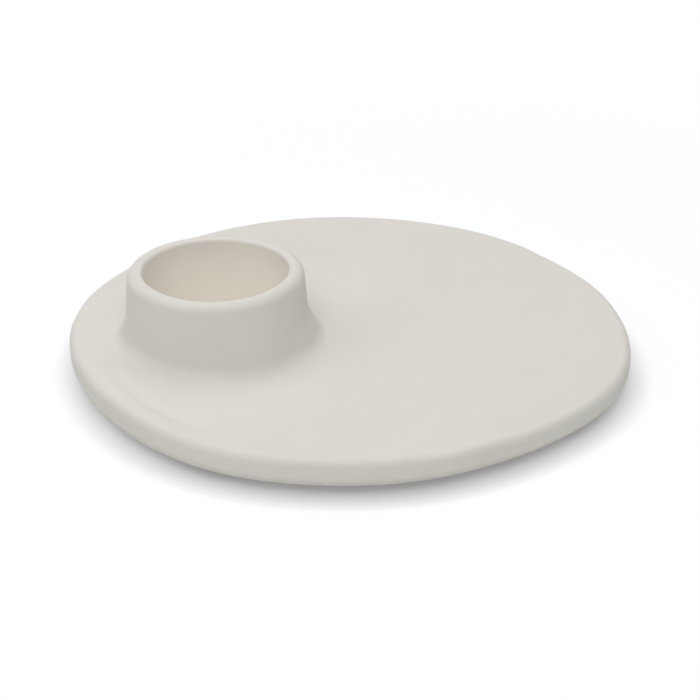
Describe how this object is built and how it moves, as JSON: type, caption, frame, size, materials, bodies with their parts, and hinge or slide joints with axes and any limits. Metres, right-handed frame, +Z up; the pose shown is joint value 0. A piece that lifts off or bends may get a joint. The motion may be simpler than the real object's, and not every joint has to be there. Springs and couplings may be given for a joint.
{
  "type": "candle plate",
  "caption": "Round matte ceramic plate with a softly rounded edge and an open candle cup moulded off-centre on top; holds a tealight, catches drips and stands on felt pads.",
  "frame": {"origin": "on the table under the plate's centre, at the underside of the felt pads", "axes": "+Z up along the plate's axis and the cup's axis; the cup stands on the -X side; the plate is mirror-symmetric across the XZ plane"},
  "size_m": [0.16, 0.16, 0.0308],
  "materials": {
    "ceramic": "matte off-white",
    "felt": "pressed wool felt, grey-beige",
    "adhesive": "soft translucent acrylic film"
  },
  "bodies": {
    "root": {"ceramic_plate": "ceramic", "felt_pad_1": "felt", "felt_pad_2": "felt", "felt_pad_3": "felt", "felt_pad_4": "felt", "adhesive_disc_1": "adhesive", "adhesive_disc_2": "adhesive", "adhesive_disc_3": "adhesive", "adhesive_disc_4": "adhesive"}
  },
  "joints": []
}
